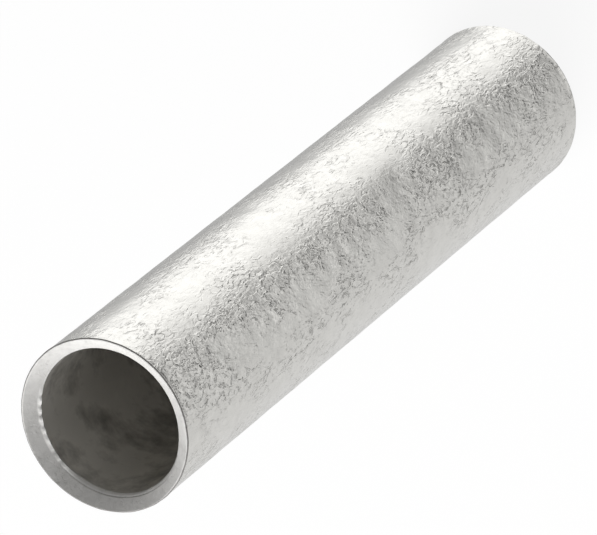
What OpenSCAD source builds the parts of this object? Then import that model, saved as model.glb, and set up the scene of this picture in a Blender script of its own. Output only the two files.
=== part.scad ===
// Butt splice connector: a seamless tin-plated copper sleeve, open from end to end.
// A stripped conductor goes in from each mouth until the two meet in the middle, and the sleeve is crimped
// down over both.
// Millimetres. +Z runs along the sleeve, and the origin is the centre of the lower end, which it stands on.

/* [Tube] */
// Bore diameter, an easy fit over the stripped conductor
bore_d = 5; // [1:0.1:12]
// Thickness of the tube's wall
wall = 0.5; // [0.5:0.05:1.5]
// Overall length, which holds both conductors end to end
sleeve_l = 30; // [10:0.5:80]

/* [Mouths] */
// Depth of the countersink that leads the strands into each mouth
lead_in = 0.38; // [0.1:0.01:1]
// Width of the flat land that is left on each end, outside the countersink
land = 0.04; // [0.02:0.01:0.1]
// Radius that tumbling leaves on the outer edge of each end
edge_r = 0.04; // [0.02:0.01:0.1]

/* [Hidden] */
bore_r = bore_d / 2;
outer_r = bore_r + wall;
lead_in_r = outer_r - edge_r - land;
tin = [0.80, 0.79, 0.77];
$fn = 96;

// What the countersink takes out of the lower mouth, in section
module lead_in_waste() {
    polygon([[bore_r, 0], [lead_in_r, 0], [bore_r, lead_in]]);
}

// What tumbling wears off the outer edge of the lower end, in section
module edge_waste() {
    translate([outer_r - edge_r, 0])
        difference() {
            square(edge_r);
            translate([0, edge_r])
                circle(r = edge_r);
        }
}

// The whole tube, with both ends finished alike because it is filled from both
module sleeve() {
    color(tin)
        rotate_extrude()
            difference() {
                translate([bore_r, 0])
                    square([wall, sleeve_l]);
                for (turned = [0, 1])
                    translate([0, turned * sleeve_l])
                        mirror([0, turned]) {
                            lead_in_waste();
                            edge_waste();
                        }
            }
}

sleeve();
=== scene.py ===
"""The looks of a butt splice connector: a tin-plated copper tube that stands on one end.

The part's own frame is used: +Z runs along the tube, and the tube stands on z = 0. The tube is worked out
in millimetres and turned into metres when its mesh is made; all else is in metres.
"""
import math
import random
import bpy
from mathutils import Euler, Matrix, Vector, noise


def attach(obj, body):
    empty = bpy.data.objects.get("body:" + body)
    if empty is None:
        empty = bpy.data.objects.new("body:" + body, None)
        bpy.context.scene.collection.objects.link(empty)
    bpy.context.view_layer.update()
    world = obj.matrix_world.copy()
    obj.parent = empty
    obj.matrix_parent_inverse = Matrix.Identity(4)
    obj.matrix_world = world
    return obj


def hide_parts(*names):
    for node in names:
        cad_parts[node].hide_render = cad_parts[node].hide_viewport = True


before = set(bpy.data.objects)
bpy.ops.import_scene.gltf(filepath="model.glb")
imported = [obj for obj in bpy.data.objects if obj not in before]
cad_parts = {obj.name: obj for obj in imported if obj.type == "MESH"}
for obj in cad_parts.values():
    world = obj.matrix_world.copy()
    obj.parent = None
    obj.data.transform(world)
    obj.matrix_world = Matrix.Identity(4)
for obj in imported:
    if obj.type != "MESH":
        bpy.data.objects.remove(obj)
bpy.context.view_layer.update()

MM = 0.001

# Sizes of the tube, in millimetres
OUTER_R = 3.0
BORE_R = 2.5
LENGTH = 30.0
LEAD_IN = 0.38
LAND = 0.04
EDGE_R = 0.04
CONE_R = OUTER_R - EDGE_R - LAND

# Wear of the plated wall, in millimetres: it lies a little inside the ideal tube, so that its waves and the
# flare at each end stay within that. Each wave is (waves per millimetre, height). Waves and dents fade out
# at the ends, where the lip has an unevenness of its own.
SKIN_DEPTH = 0.018
WALL_R = OUTER_R - SKIN_DEPTH
WAVES = ((0.6, 0.007), (1.4, 0.006))
DENT_COUNT = 90
DENT_R = (0.25, 0.6)
DENT_DEPTH = (0.003, 0.009)
DENT_SEED = 7
WEAR_FADE = 0.5
FLARE = 0.012
FLARE_REACH = 0.10
LIP_NOISE = 0.010
LIP_WAVES = 2.7
LIP_FADE = (0.1, 0.4)

# The countersink in each mouth: how far its cone bulges, and how much deeper it is on one side. Angles are in
# degrees from +X towards +Y, and lengths in millimetres.
CROWN = 0.006
LEAD_SWING = 0.06
LEAD_SWING_AT = 53.0

# Its inner edge: a beaded burr, a groove beside it, and a stretch that is rolled into the bore. Each span is
# (first angle, last angle, fade), and a share runs from 0 at the cone's outer edge to 1 at its inner edge.
BURR = 0.080
BURR_SPAN = (24.0, 110.0, 18.0)
BURR_FROM = 0.80
BEAD_SCALE = 7.0
BEAD_MEAN = 0.75
BEAD_SWING = 1.5
BEAD_MOST = 1.2
GROOVE = 0.020
GROOVE_SPAN = (85.0, 205.0, 25.0)
GROOVE_AT = 0.84
GROOVE_HALF = 0.06
ROLL = 0.07
ROLL_SPAN = (88.0, 225.0, 25.0)
ROLL_FROM = 0.78

# Where the countersink takes most of the land away, and how much of it
BARE_SPAN = (45.0, 205.0, 40.0)
BARE_SHARE = 0.8

# How far the burr's pattern moves from one end to the other, so that the two ends differ
END_SHIFT = 7.0

# The mesh: the kinds of surface, its steps around and along the tube, and the rows of an end, which run from
# the wall over the edge and the countersink to the bore
WALL, EDGE, CUT, RIM, BORE = range(5)
SEGMENTS = 256
WALL_ROWS = 215
BORE_ROWS = 36
WALL_STEPS = (0.80, 0.60, 0.45, 0.34, 0.26, 0.20, 0.15, 0.11, 0.07)
EDGE_STEPS = 6
CONE_STEPS = (0.0, 0.03, 0.12, 0.25, 0.38, 0.50, 0.62, 0.72, 0.78, 0.81, 0.84, 0.87, 0.90, 0.93, 0.96, 1.0)
BORE_STEPS = ((RIM, 0.02), (RIM, 0.05), (BORE, 0.10), (BORE, 0.20), (BORE, 0.38))
BORE_FROM = 1.05

# Marks in the plating, with scales in marks per millimetre. STRETCH is how much shorter they are along the
# tube in texture space, so that they lie drawn out along it.
STRETCH = 0.46
CLUMP_SCALE = 0.85
CLUMP_RANGE = (0.42, 0.60)
CLUMP_LEAST = 0.20
RAGGED_SCALE = 7.0
RAGGED = 0.20
STROKE_BEND = 6.0
STROKE_LENGTHS = (0.35, 1.25)
LAYER_SHIFT = (17.3, 5.1, 9.7)
SECOND_DRAW = 13.7
CUT_SHARE = 0.56
RIDGE_HEIGHT = 0.8
CLOUD_SCALE = 1.3
SWELL_SCALE = 3.4
SWELL_SHARE = 0.42
CRINKLE_SCALE = 5.2
GRAIN_SCALE = 12.0
GRAIN_SHARE = 0.3
MEAN_WEAR = 0.08
# The next value darkens the colour in the cuts: partly painted shade in the grooves, partly oxide in them
CUT_SHADE_AND_WEAR = 0.16
CUT_ROUGH = 0.20
PATCH_ROUGH = 0.20

# The side of the bore that is left lightest, as an angle in degrees from +X towards +Y; away from it
# the bore's colour is painted darker, as painted shade
BRIGHT_SIDE = 95.0

# Sets of strokes, each (strokes per millimetre, half length, half width, weight)
FINE = ((3.0, 0.19, 0.050, 1.0), (4.0, 0.14, 0.045, 0.9), (5.4, 0.10, 0.038, 0.8), (2.0, 0.33, 0.038, 0.9),
        (0.9, 0.62, 0.030, 0.8))
SHORT = FINE[1:3]
FAINT = ((3.0, 0.18, 0.055, 0.3),)

# The finish of each kind of surface, in the order of the kinds
FINISHES = (
    dict(name="tin_wall", layers=FINE, clean=(0.83, 0.82, 0.785), dull=(0.36, 0.35, 0.33), metallic=1.0,
         gloss=0.5, roughness=0.15, depth=0.0135, clouds=0.020, crinkles=0.025, patches=(1.6, 0.4)),
    # The rounded outer edge gets a much darker copy of the tin's colour, as painted shade along the edge
    dict(name="tin_edge_painted_shade", layers=SHORT, clean=(0.34, 0.33, 0.32), dull=(0.22, 0.21, 0.20), metallic=0.3,
         gloss=0.2, roughness=0.50, depth=0.003, clouds=0.004, crinkles=0.002, patches=(2.4, 0.8)),
    dict(name="tin_cut", layers=SHORT, clean=(0.85, 0.84, 0.82), dull=(0.55, 0.54, 0.52), metallic=0.3,
         gloss=0.2, roughness=0.55, depth=0.005, clouds=0.004, crinkles=0.010, patches=(3.0, 1.3)),
    dict(name="tin_rim", layers=FAINT, clean=(0.85, 0.84, 0.80), dull=(0.45, 0.44, 0.41), metallic=0.3,
         gloss=0.2, roughness=0.50, depth=0.003, clouds=0.004, crinkles=0.004, patches=(2.4, 1.3)),
    # The bore's last setting paints shade: its colour grows darker away from the bright side
    dict(name="tin_bore", layers=FAINT, clean=(0.94, 0.915, 0.86), dull=(0.15, 0.14, 0.125), metallic=0.50,
         gloss=0.5, roughness=0.36, depth=0.002, clouds=0.014, crinkles=0.004, patches=(0.7, 2.5),
         painted_side_shade=0.13),
)

# The camera, from the photograph's outline
FRAME_W = 597
FRAME_H = 535
FOCAL_PX = 6881.3
MOUTH_PX = (103.52, 425.30)
MOUTH_DEPTH = 72.704 * OUTER_R * MM
CAMERA_ELEVATION = 55.40
CAMERA_ROLL = -129.02
SENSOR_W = 36.0

# The room around the tube as levels of white: for each height of the direction (-1 down to 1 up), the level
# by bearing in degrees, from the front (-Y) over the right (+X) to the back
ROOM = (
    (-0.97, ((-180, 0.72), (-90, 0.68), (-45, 0.28), (0, 0.18), (20, 0.24), (44, 0.92), (65, 1.16),
             (105, 1.16), (130, 0.74), (155, 0.56), (180, 0.72))),
    (-0.92, ((-180, 0.72), (-140, 0.74), (-95, 0.70), (-70, 0.44), (-45, 0.06), (-20, 0.02), (20, 0.02),
             (33, 0.50), (44, 0.95), (65, 1.24), (105, 1.24), (125, 0.66), (150, 0.48), (165, 0.50),
             (180, 0.72))),
    (-0.87, ((-180, 0.71), (-140, 0.74), (-95, 0.72), (-65, 0.65), (-40, 0.59), (-8, 0.50), (17, 0.44),
             (44, 1.00), (70, 1.29), (100, 1.26), (125, 0.62), (150, 0.47), (165, 0.50), (180, 0.71))),
    (-0.82, ((-180, 0.71), (-140, 0.74), (-95, 0.73), (-65, 0.68), (-40, 0.62), (-8, 0.55), (17, 0.48),
             (44, 1.00), (70, 1.29), (100, 1.26), (125, 0.62), (150, 0.47), (165, 0.50), (180, 0.71))),
    (-0.75, ((-180, 0.72), (-125, 0.74), (-95, 0.73), (-70, 0.74), (-45, 0.88), (-20, 0.98), (10, 0.98),
             (30, 1.00), (44, 1.05), (65, 1.24), (105, 1.22), (125, 0.55), (150, 0.36), (180, 0.72))),
    (-0.62, ((-180, 0.72), (-125, 0.74), (-95, 0.68), (-70, 0.40), (-45, 0.08), (-20, 0.02), (14, 0.02),
             (29, 0.55), (44, 1.00), (60, 1.18), (105, 1.18), (125, 0.50), (150, 0.26), (180, 0.72))),
    (-0.42, ((-180, 0.72), (-150, 0.96), (-122, 0.70), (-95, 0.60), (-65, 0.30), (-20, 0.12), (12, 0.12),
             (28, 0.55), (44, 0.95), (60, 1.12), (105, 1.12), (125, 0.46), (150, 0.26), (180, 0.72))),
    (-0.10, ((-180, 0.66), (-150, 1.00), (-122, 0.64), (-90, 0.50), (-60, 0.38), (-10, 0.30), (20, 0.36),
             (60, 0.90), (100, 0.90), (130, 0.38), (155, 0.30), (180, 0.66))),
    (0.10, ((-180, 0.45), (-150, 1.00), (-120, 0.45), (-85, 0.30), (-40, 0.24), (0, 0.28), (40, 0.05),
            (100, 0.04), (150, 0.26), (180, 0.45))),
    (0.60, ((-180, 0.36), (-150, 1.00), (-115, 0.36), (-90, 0.30), (-40, 0.40), (0, 0.40), (50, 0.05),
            (100, 0.04), (180, 0.36))),
)

# The softbox: its bearing and rise in degrees, and the level that it would give a white card if it were small
LAMP_BEARING = -151.0
LAMP_RISE = 39.0
LAMP_DISTANCE = 0.32
LAMP_SIZE = 0.36
LAMP_WHITE = 1.42

# The floor: the radius where it starts to curve up, the curve's radius, the height of the wall that it turns
# into, its reflectance, and the share of plain white in what is seen of it
FLOOR_R = 0.35
COVE_R = 0.20
COVE_STEPS = 12
COVE_WALL = 0.60
FLOOR_SIDES = 96
FLOOR_TONE = 0.95
FLOOR_WHITE = 0.90


def place_camera():
    """Puts the camera where the upper mouth's centre falls on its pixel, at its depth."""
    data = bpy.data.cameras.new("photo_camera")
    data.sensor_fit = "HORIZONTAL"
    data.sensor_width = SENSOR_W
    data.lens = FOCAL_PX / FRAME_W * SENSOR_W
    data.clip_start = 0.01
    data.clip_end = 10.0
    camera = bpy.data.objects.new("photo_camera", data)
    bpy.context.collection.objects.link(camera)
    tilt = Euler((math.radians(90 - CAMERA_ELEVATION), 0, 0)).to_matrix()
    turn = tilt @ Matrix.Rotation(math.radians(CAMERA_ROLL), 3, "Z")
    right = (MOUTH_PX[0] - (FRAME_W - 1) / 2) / FOCAL_PX * MOUTH_DEPTH
    down = (MOUTH_PX[1] - (FRAME_H - 1) / 2) / FOCAL_PX * MOUTH_DEPTH
    mouth = Vector((right, -down, -MOUTH_DEPTH))
    place = Vector((0, 0, LENGTH * MM)) - turn @ mouth
    camera.matrix_world = Matrix.Translation(place) @ turn.to_4x4()
    bpy.context.scene.camera = camera


def smooth(low, high, value):
    """Runs from 0 at low to 1 at high with level ends."""
    share = min(1.0, max(0.0, (value - low) / (high - low)))
    return share * share * (3 - 2 * share)


def span(limits, degrees):
    """1 between the limits, with soft ends."""
    low, high, fade = limits
    return smooth(low, low + fade, degrees) * (1 - smooth(high - fade, high, degrees))


def past(start, share):
    """0 up to start, then evenly up to 1 at a share of 1."""
    return max(0.0, (share - start) / (1 - start))


def make_dents():
    """Shallow dents from tumbling, as (place on the wall, radius, depth)."""
    draw = random.Random(DENT_SEED)
    dents = []
    for _ in range(DENT_COUNT):
        turn = draw.uniform(0, 2 * math.pi)
        height = draw.uniform(WEAR_FADE, LENGTH - WEAR_FADE)
        place = Vector((OUTER_R * math.cos(turn), OUTER_R * math.sin(turn), height))
        dents.append((place, draw.uniform(*DENT_R), draw.uniform(*DENT_DEPTH)))
    return dents


def wall_wear(place, dents):
    """How far the plated wall stands off its mean radius."""
    offset = 0.0
    for scale, height in WAVES:
        offset += height * noise.noise(place * scale)
    for middle, radius, depth in dents:
        if abs(middle.z - place.z) < 3 * radius:
            offset -= depth * math.exp(-(middle - place).length_squared / radius ** 2)
    return offset


def cone_point(share, turn, end):
    """A point of the countersink as (radius, depth); share runs from its outer to its inner edge."""
    degrees = math.degrees(turn)
    swing = LEAD_SWING * math.cos(turn - math.radians(LEAD_SWING_AT))
    ring = Vector((BORE_R * math.cos(turn), BORE_R * math.sin(turn), END_SHIFT * end))
    beads = min(BEAD_MOST, max(0.0, BEAD_MEAN + BEAD_SWING * noise.noise(ring * BEAD_SCALE)))
    burr = BURR * beads * span(BURR_SPAN, degrees) * past(BURR_FROM, share)
    groove = GROOVE * span(GROOVE_SPAN, degrees) * max(0.0, 1 - abs(share - GROOVE_AT) / GROOVE_HALF)
    roll = ROLL * span(ROLL_SPAN, degrees) * past(ROLL_FROM, share) ** 2
    proud = CROWN * 4 * share * (1 - share) + burr - groove
    start = CONE_R + BARE_SHARE * LAND * span(BARE_SPAN, degrees)
    width = start - BORE_R
    slant = math.hypot(width, LEAD_IN)
    radius = start - width * share - proud * LEAD_IN / slant
    return radius, (LEAD_IN + swing) * share + roll - proud * width / slant


def end_rows(end):
    """Rows of one end from the wall to the bore, each (kind, function from turn to radius and depth)."""
    edge_middle = WALL_R + FLARE - EDGE_R
    rows = []
    for depth in WALL_STEPS:
        flare = FLARE * math.exp(-((depth - EDGE_R) / FLARE_REACH) ** 2)
        rows.append((WALL, lambda turn, r=WALL_R + flare, d=depth: (r, d)))
    for step in range(EDGE_STEPS + 1):
        angle = math.pi / 2 * step / EDGE_STEPS
        radius = edge_middle + EDGE_R * math.cos(angle)
        depth = EDGE_R * (1 - math.sin(angle))
        kind = WALL if step < 2 else EDGE if step < EDGE_STEPS else CUT
        rows.append((kind, lambda turn, r=radius, d=depth: (r, d)))
    rows.append((CUT, lambda turn: ((edge_middle + cone_point(0.0, turn, end)[0]) / 2, 0.0)))
    for share in CONE_STEPS:
        rows.append((CUT, lambda turn, s=share: cone_point(s, turn, end)))
    for kind, depth in BORE_STEPS:
        rows.append((kind, lambda turn, d=depth: (BORE_R, cone_point(1.0, turn, end)[1] + d)))
    return rows


def tube_rows():
    """Rows of the whole tube: up the wall, over the upper mouth, down the bore and round the lower mouth.

    Each is (kind, function from turn to radius and depth, end from which the depth runs).
    """
    rows = [(kind, row, 0) for kind, row in reversed(end_rows(0))]
    wall_from = WALL_STEPS[0]
    for step in range(1, WALL_ROWS):
        height = wall_from + (LENGTH - 2 * wall_from) * step / WALL_ROWS
        rows.append((WALL, lambda turn, h=height: (WALL_R, LENGTH - h), 1))
    rows += [(kind, row, 1) for kind, row in end_rows(1)]
    for step in range(BORE_ROWS + 1):
        height = LENGTH - BORE_FROM - (LENGTH - 2 * BORE_FROM) * step / BORE_ROWS
        rows.append((BORE, lambda turn, h=height: (BORE_R, LENGTH - h), 1))
    return rows


def make_sleeve():
    """The tube as one closed mesh, with a sharp edge between each countersink and the bore."""
    dents = make_dents()
    rows = tube_rows()
    verts = []
    for kind, row, end in rows:
        for step in range(SEGMENTS):
            turn = 2 * math.pi * step / SEGMENTS
            radius, depth = row(turn)
            out = Vector((math.cos(turn), math.sin(turn), 0))
            place = out * radius + Vector((0, 0, LENGTH - depth if end else depth))
            if kind == WALL:
                place += out * wall_wear(place, dents) * smooth(0.0, WEAR_FADE, depth)
            if radius > CONE_R + LAND / 2 and depth < LIP_FADE[1]:
                place += out * LIP_NOISE * noise.noise(place * LIP_WAVES) * (1 - smooth(*LIP_FADE, depth))
            verts.append(place * MM)
    faces = []
    kinds = []
    for low in range(len(rows)):
        high = (low + 1) % len(rows)
        pair = {rows[low][0], rows[high][0]}
        for step in range(SEGMENTS):
            turned = (step + 1) % SEGMENTS
            corners = ((low, step), (low, turned), (high, turned), (high, step))
            faces.append([row * SEGMENTS + place for row, place in corners])
            kinds.append(EDGE if EDGE in pair else max(pair))
    mesh = bpy.data.meshes.new("sleeve_body")
    mesh.from_pydata(verts, [], faces)
    mesh.polygons.foreach_set("material_index", kinds)
    mesh.polygons.foreach_set("use_smooth", [True] * len(faces))
    kind_of = [kind for kind, _, _ in rows]
    sharp_rows = set()
    for row, kind in enumerate(kind_of):
        if kind == CUT and RIM in (kind_of[row - 1], kind_of[row + 1]):
            sharp_rows.add(row)
    for edge in mesh.edges:
        low, high = (vert // SEGMENTS for vert in edge.vertices)
        edge.use_edge_sharp = low == high and low in sharp_rows
    piece = bpy.data.objects.new("sleeve_body", mesh)
    bpy.context.collection.objects.link(piece)
    return piece


def add_node(tree, kind, inputs=None, **settings):
    """Adds a node, sets its properties, and fills its inputs with values or with other nodes' outputs."""
    node = tree.nodes.new(kind)
    for name, value in settings.items():
        setattr(node, name, value)
    for key, value in (inputs or {}).items():
        if isinstance(value, bpy.types.NodeSocket):
            tree.links.new(value, node.inputs[key])
        else:
            node.inputs[key].default_value = value
    return node


def number(tree, operation, *values):
    """A Math node's result."""
    return add_node(tree, "ShaderNodeMath", dict(enumerate(values)), operation=operation).outputs[0]


def vector(tree, operation, *values):
    """A Vector Math node's result."""
    node = add_node(tree, "ShaderNodeVectorMath", dict(enumerate(values)), operation=operation)
    return node.outputs["Value" if operation == "DOT_PRODUCT" else "Vector"]


def total(tree, values):
    """The sum of several outputs."""
    result = values[0]
    for value in values[1:]:
        result = number(tree, "ADD", result, value)
    return result


def soft_noise(tree, place, scale, detail, roughness=0.6):
    """A cloudy pattern around 0.5; scale is in clouds per millimetre."""
    values = {"Vector": place, "Scale": scale, "Detail": detail, "Roughness": roughness}
    return add_node(tree, "ShaderNodeTexNoise", values).outputs["Fac"]


def squared_ratio(tree, value, limit):
    """The square of value over limit."""
    return number(tree, "POWER", number(tree, "ABSOLUTE", number(tree, "DIVIDE", value, limit)), 2.0)


def stroke_group():
    """A node group of short, slightly bent strokes at any angle, one in each cell of a random pattern.

    Around and Beside are two directions in the surface. Height is negative in a cut and positive on a ridge;
    Cut is 1 in the middle of a cut.
    """
    group = bpy.data.node_groups.new("strokes", "ShaderNodeTree")
    for name in ("Place", "Around", "Beside"):
        group.interface.new_socket(name, in_out="INPUT", socket_type="NodeSocketVector")
    for name in ("Density", "Length", "Width", "Bend"):
        group.interface.new_socket(name, in_out="INPUT", socket_type="NodeSocketFloat")
    for name in ("Height", "Cut"):
        group.interface.new_socket(name, in_out="OUTPUT", socket_type="NodeSocketFloat")
    given = add_node(group, "NodeGroupInput").outputs
    cell = add_node(group, "ShaderNodeTexVoronoi", {"Vector": given["Place"], "Scale": given["Density"]},
                    voronoi_dimensions="3D", feature="F1")
    away = vector(group, "SUBTRACT", given["Place"], cell.outputs["Position"])
    chance = add_node(group, "ShaderNodeSeparateColor", {"Color": cell.outputs["Color"]}).outputs
    around = vector(group, "DOT_PRODUCT", away, given["Around"])
    beside = vector(group, "DOT_PRODUCT", away, given["Beside"])
    angle = number(group, "MULTIPLY", chance["Red"], math.pi)
    cosine = number(group, "COSINE", angle)
    sine = number(group, "SINE", angle)
    run = number(group, "MULTIPLY_ADD", around, cosine, number(group, "MULTIPLY", beside, sine))
    side = number(group, "SUBTRACT", number(group, "MULTIPLY", beside, cosine),
                  number(group, "MULTIPLY", around, sine))
    bend = number(group, "MULTIPLY", number(group, "SUBTRACT", chance["Green"], 0.5), given["Bend"])
    side = number(group, "MULTIPLY_ADD", number(group, "MULTIPLY", run, run), bend, side)
    shortest, longest = STROKE_LENGTHS
    size = number(group, "MULTIPLY_ADD", chance["Blue"], longest - shortest, shortest)
    run_share = squared_ratio(group, run, number(group, "MULTIPLY", given["Length"], size))
    side_share = squared_ratio(group, side, given["Width"])
    reach = number(group, "ADD", run_share, side_share)
    bowl = number(group, "MAXIMUM", number(group, "SUBTRACT", 1.0, reach), 0.0)
    stroke = number(group, "MULTIPLY", bowl, bowl)
    draw = number(group, "FRACT", number(group, "MULTIPLY", chance["Green"], SECOND_DRAW))
    is_cut = number(group, "LESS_THAN", draw, CUT_SHARE)
    height = number(group, "MULTIPLY_ADD", is_cut, -1.0 - RIDGE_HEIGHT, RIDGE_HEIGHT)
    add_node(group, "NodeGroupOutput", {"Height": number(group, "MULTIPLY", stroke, height),
                                        "Cut": number(group, "MULTIPLY", bowl, is_cut)})
    return group


def lay_strokes(tree, strokes, layers, place, drawn):
    """All sets of strokes together, as (height, share of cut)."""
    normal = add_node(tree, "ShaderNodeNewGeometry").outputs["Normal"]
    around = vector(tree, "NORMALIZE", vector(tree, "CROSS_PRODUCT", (0, 0, 1), place))
    beside = vector(tree, "CROSS_PRODUCT", normal, around)
    wobble = add_node(tree, "ShaderNodeTexNoise", {"Vector": drawn, "Scale": RAGGED_SCALE, "Detail": 1.0})
    ragged = vector(tree, "MULTIPLY_ADD", wobble.outputs["Color"], (RAGGED,) * 3, drawn)
    heights = []
    cuts = []
    for index, (density, length, width, weight) in enumerate(layers):
        moved = vector(tree, "ADD", ragged, [shift * index for shift in LAYER_SHIFT])
        values = {"Place": moved, "Around": around, "Beside": beside, "Density": density, "Length": length,
                  "Width": width, "Bend": STROKE_BEND}
        layer = add_node(tree, "ShaderNodeGroup", values, node_tree=strokes)
        heights.append(number(tree, "MULTIPLY", layer.outputs["Height"], weight))
        cuts.append(number(tree, "MULTIPLY", layer.outputs["Cut"], weight))
    return total(tree, heights), total(tree, cuts)


def make_tin(strokes, name, layers, clean, dull, metallic, gloss, roughness, depth, clouds, crinkles, patches,
             painted_side_shade=0.0):
    """Plated metal, marked with the given layers of strokes.

    depth is that of a stroke, clouds and crinkles are the heights of the soft waves and of the fine folds
    between strokes, all in millimetres. patches is (scale, strength) of the duller patches, and the last
    argument is how much darker the colour is painted with each millimetre away from the bright side, as
    painted shade.
    """
    mat = bpy.data.materials.new(name)
    mat.use_nodes = True
    tree = mat.node_tree
    bsdf = tree.nodes["Principled BSDF"]
    bsdf.inputs["Metallic"].default_value = metallic
    bsdf.inputs["Specular IOR Level"].default_value = gloss
    place = vector(tree, "MULTIPLY", add_node(tree, "ShaderNodeTexCoord").outputs["Object"], (1 / MM,) * 3)
    drawn = vector(tree, "MULTIPLY", place, (1, 1, STRETCH))

    # Relief, in shares of a stroke's depth
    clump = add_node(tree, "ShaderNodeMapRange", {
        "Value": soft_noise(tree, drawn, CLUMP_SCALE, 3.0), "From Min": CLUMP_RANGE[0],
        "From Max": CLUMP_RANGE[1], "To Min": CLUMP_LEAST, "To Max": 1.0}).outputs["Result"]
    height, cut = lay_strokes(tree, strokes, layers, place, drawn)
    marks = number(tree, "MULTIPLY", height, clump)
    dark = number(tree, "MULTIPLY", cut, clump)
    cloud = number(tree, "MULTIPLY", soft_noise(tree, place, CLOUD_SCALE, 1.0, 0.4), clouds / depth)
    swell = number(tree, "MULTIPLY", soft_noise(tree, place, SWELL_SCALE, 2.0, 0.5),
                   SWELL_SHARE * clouds / depth)
    folds = add_node(tree, "ShaderNodeTexNoise", {"Vector": drawn, "Scale": CRINKLE_SCALE, "Detail": 2.0,
                                                  "Roughness": 0.55, "Distortion": 0.8}).outputs["Fac"]
    crinkle = number(tree, "MULTIPLY", number(tree, "MULTIPLY", folds, clump), crinkles / depth)
    grain = number(tree, "MULTIPLY", soft_noise(tree, place, GRAIN_SCALE, 3.0, 0.7), GRAIN_SHARE)
    relief = total(tree, [marks, cloud, swell, crinkle, grain])
    bump = add_node(tree, "ShaderNodeBump", {"Height": relief, "Distance": depth * MM})
    tree.links.new(bump.outputs["Normal"], bsdf.inputs["Normal"])

    # Tone and roughness; the tone holds painted shade in the cuts and across the bore
    patch_scale, patch_strength = patches
    mottle = soft_noise(tree, place, patch_scale, 4.0, 0.65)
    patchy = number(tree, "MULTIPLY_ADD", mottle, patch_strength, MEAN_WEAR - 0.5 * patch_strength)
    # Painted shade: the colour grows darker with distance from the bright side of the bore
    side = math.radians(BRIGHT_SIDE)
    nearness = vector(tree, "DOT_PRODUCT", place, (math.cos(side), math.sin(side), 0))
    side_shade_tone = number(tree, "MULTIPLY", number(tree, "SUBTRACT", BORE_R, nearness), painted_side_shade)
    # The cuts are painted darker, partly as painted shade in them and partly as oxide
    wear_and_shade = number(tree, "MULTIPLY_ADD", dark, CUT_SHADE_AND_WEAR, number(tree, "ADD", patchy, side_shade_tone))
    tone = add_node(tree, "ShaderNodeMix", {0: wear_and_shade, 6: (*clean, 1), 7: (*dull, 1)}, data_type="RGBA")
    tree.links.new(tone.outputs[2], bsdf.inputs["Base Color"])
    rough = number(tree, "MULTIPLY_ADD", dark, CUT_ROUGH, roughness - 0.5 * PATCH_ROUGH)
    rough = number(tree, "MULTIPLY_ADD", mottle, PATCH_ROUGH, rough)
    tree.links.new(rough, bsdf.inputs["Roughness"])
    return mat


def floor_material():
    """Pale and matt; what is seen of it directly is mostly plain white."""
    mat = bpy.data.materials.new("pale_floor")
    mat.use_nodes = True
    tree = mat.node_tree
    bsdf = tree.nodes["Principled BSDF"]
    bsdf.inputs["Base Color"].default_value = (FLOOR_TONE, FLOOR_TONE, FLOOR_TONE, 1)
    bsdf.inputs["Roughness"].default_value = 1.0
    bsdf.inputs["Specular IOR Level"].default_value = 0.0
    ray = add_node(tree, "ShaderNodeLightPath").outputs
    seen = number(tree, "MAXIMUM", ray["Is Camera Ray"], ray["Is Glossy Ray"])
    seen = number(tree, "MAXIMUM", seen, ray["Is Transmission Ray"])
    white = add_node(tree, "ShaderNodeEmission", {"Color": (1, 1, 1, 1), "Strength": 1.0})
    mix = add_node(tree, "ShaderNodeMixShader", {0: number(tree, "MULTIPLY", seen, FLOOR_WHITE),
                                                 1: bsdf.outputs[0], 2: white.outputs[0]})
    tree.links.new(mix.outputs[0], tree.nodes["Material Output"].inputs["Surface"])
    return mat


def make_stage():
    """A floor that curves up into a wall all round; the tube mirrors the room in its place."""
    rows = [(0.0005, 0.0), (0.05, 0.0), (0.2, 0.0), (FLOOR_R, 0.0)]
    for step in range(1, COVE_STEPS + 1):
        angle = math.pi / 2 * step / COVE_STEPS
        rows.append((FLOOR_R + COVE_R * math.sin(angle), COVE_R * (1 - math.cos(angle))))
    rows.append((FLOOR_R + COVE_R, COVE_WALL))
    verts = []
    for radius, height in rows:
        for step in range(FLOOR_SIDES):
            turn = 2 * math.pi * step / FLOOR_SIDES
            verts.append((radius * math.cos(turn), radius * math.sin(turn), height))
    faces = [tuple(range(FLOOR_SIDES))]
    for row in range(len(rows) - 1):
        for step in range(FLOOR_SIDES):
            turned = (step + 1) % FLOOR_SIDES
            corners = ((row, step), (row + 1, step), (row + 1, turned), (row, turned))
            faces.append([ring * FLOOR_SIDES + place for ring, place in corners])
    mesh = bpy.data.meshes.new("studio_floor")
    mesh.from_pydata(verts, [], faces)
    mesh.polygons.foreach_set("use_smooth", [True] * len(faces))
    mesh.materials.append(floor_material())
    floor = bpy.data.objects.new("studio_floor", mesh)
    bpy.context.collection.objects.link(floor)
    floor.visible_glossy = False
    floor.visible_diffuse = False
    floor.visible_shadow = False


def level_ramp(tree, share, stops):
    """A grey level by bearing; share runs from 0 at -180 degrees to 1 at 180."""
    node = add_node(tree, "ShaderNodeValToRGB", {"Fac": share})
    node.color_ramp.interpolation = "EASE"
    elements = node.color_ramp.elements
    elements.remove(elements[-1])
    for index, (degrees, level) in enumerate(stops):
        place = degrees / 360 + 0.5
        element = elements[0] if index == 0 else elements.new(place)
        element.position = place
        element.color = (level, level, level, 1)
    return node.outputs["Color"]


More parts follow.
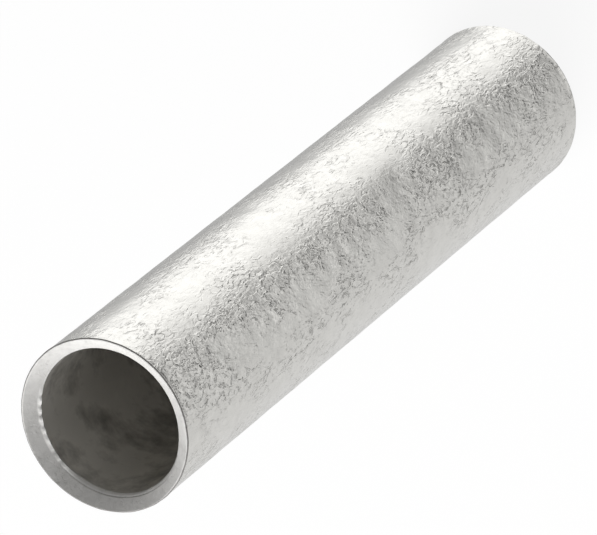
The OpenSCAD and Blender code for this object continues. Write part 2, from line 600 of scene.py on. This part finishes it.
def make_surroundings():
    """The room as a soft map of levels."""
    world = bpy.data.worlds.new("studio")
    bpy.context.scene.world = world
    world.use_nodes = True
    tree = world.node_tree
    tree.nodes.clear()
    way = add_node(tree, "ShaderNodeTexCoord").outputs["Generated"]
    parts = add_node(tree, "ShaderNodeSeparateXYZ", {0: way}).outputs
    bearing = number(tree, "ARCTAN2", parts["X"], number(tree, "MULTIPLY", parts["Y"], -1.0))
    share = number(tree, "MULTIPLY_ADD", bearing, 1 / (2 * math.pi), 0.5)
    low_height, stops = ROOM[0]
    colour = level_ramp(tree, share, stops)
    for high_height, stops in ROOM[1:]:
        limits = {"Value": parts["Z"], "From Min": low_height, "From Max": high_height}
        rise = add_node(tree, "ShaderNodeMapRange", limits, interpolation_type="SMOOTHSTEP")
        mix = add_node(tree, "ShaderNodeMix", {0: rise.outputs["Result"], 6: colour,
                                               7: level_ramp(tree, share, stops)}, data_type="RGBA")
        colour = mix.outputs[2]
        low_height = high_height
    background = add_node(tree, "ShaderNodeBackground", {"Color": colour})
    add_node(tree, "ShaderNodeOutputWorld", {"Surface": background.outputs[0]})


def make_lamp():
    """A softbox from behind on the left.

    Metal mirrors the room alone and not the softbox, so that its fine marks don't glitter.
    """
    bearing = math.radians(LAMP_BEARING)
    rise = math.radians(LAMP_RISE)
    level = math.cos(rise)
    way = Vector((math.sin(bearing) * level, -math.cos(bearing) * level, math.sin(rise)))
    data = bpy.data.lights.new("softbox", "AREA")
    data.size = LAMP_SIZE
    data.energy = LAMP_WHITE * math.pi ** 2 * LAMP_DISTANCE ** 2
    lamp = bpy.data.objects.new("softbox", data)
    lamp.location = way * LAMP_DISTANCE
    lamp.rotation_euler = way.to_track_quat("Z", "Y").to_euler()
    lamp.visible_glossy = False
    bpy.context.collection.objects.link(lamp)


place_camera()
make_stage()
make_surroundings()
make_lamp()

sleeve = make_sleeve()
strokes = stroke_group()
for finish in FINISHES:
    sleeve.data.materials.append(make_tin(strokes, **finish))
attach(sleeve, "root")
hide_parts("sleeve")

bpy.context.scene.view_settings.view_transform = "Standard"
